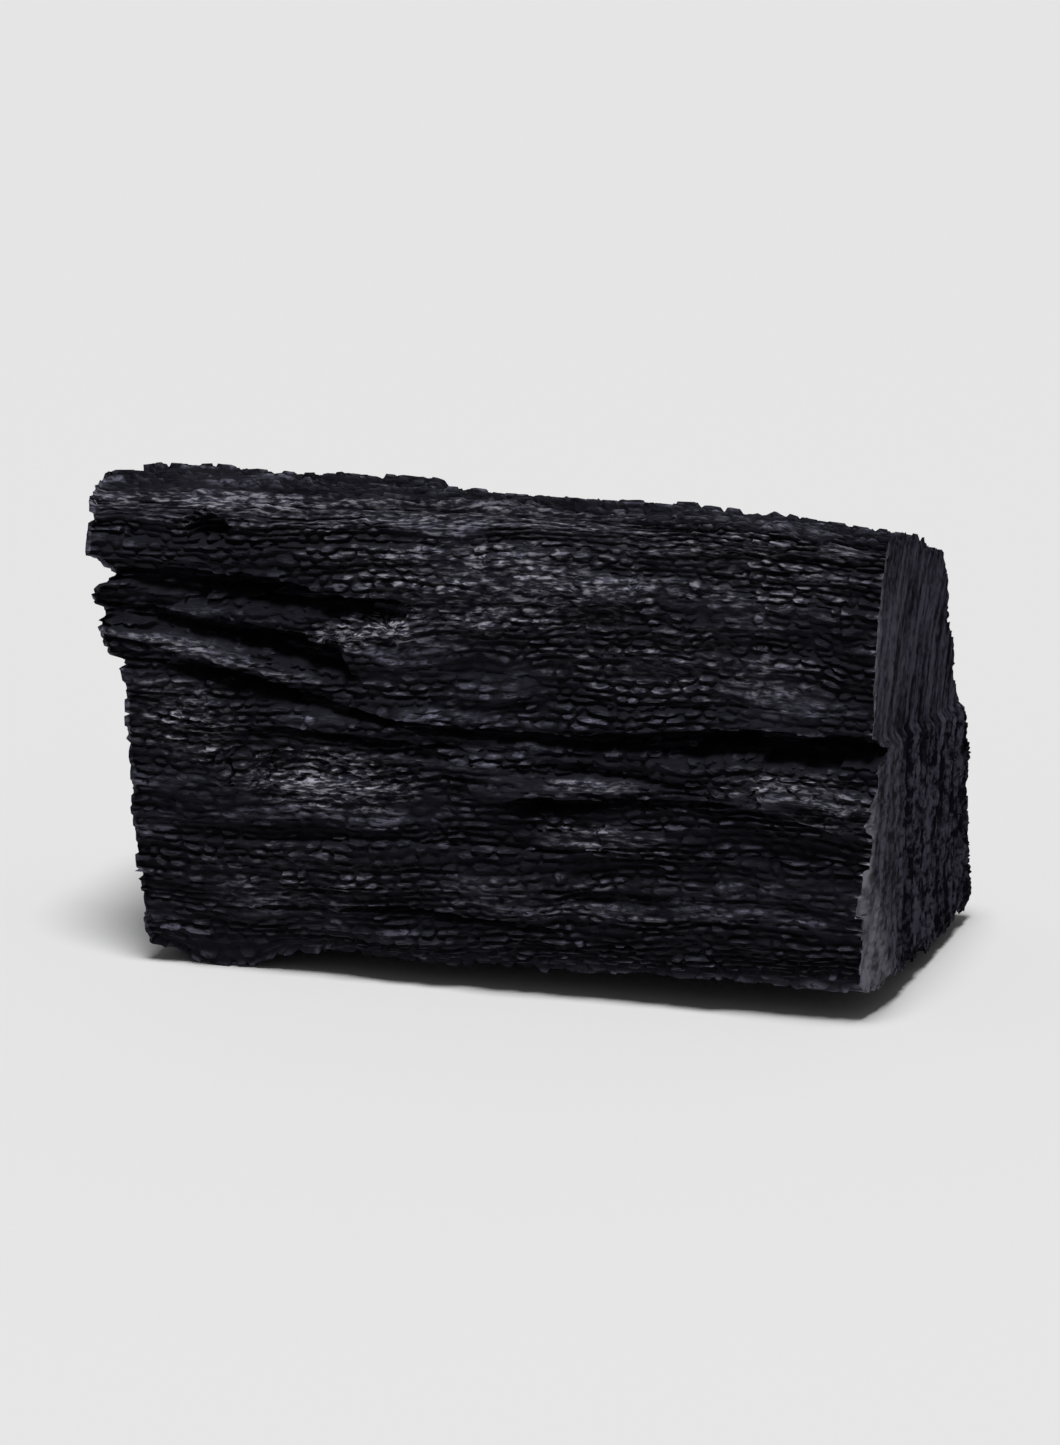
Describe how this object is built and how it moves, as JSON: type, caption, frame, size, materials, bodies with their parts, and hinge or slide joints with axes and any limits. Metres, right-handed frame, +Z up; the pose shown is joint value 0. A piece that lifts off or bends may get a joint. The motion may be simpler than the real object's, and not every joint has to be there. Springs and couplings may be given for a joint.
{
  "type": "charcoal lump",
  "caption": "Blocky billet of lump charcoal with split grain faces, a frayed end and a clean broken end, lying on three low spots.",
  "frame": {"origin": "centre of the bounding box, at the level of the surface that the lump lies on", "axes": "+X along the grain, from the frayed end to the clean broken end; +Y from the split front face to the back; +Z up"},
  "size_m": [0.108, 0.058, 0.066],
  "materials": {
    "charcoal": "charred hardwood, black with a faint silky blue-grey sheen on the fibres"
  },
  "bodies": {
    "root": {"charcoal_lump": "charcoal"}
  },
  "joints": []
}
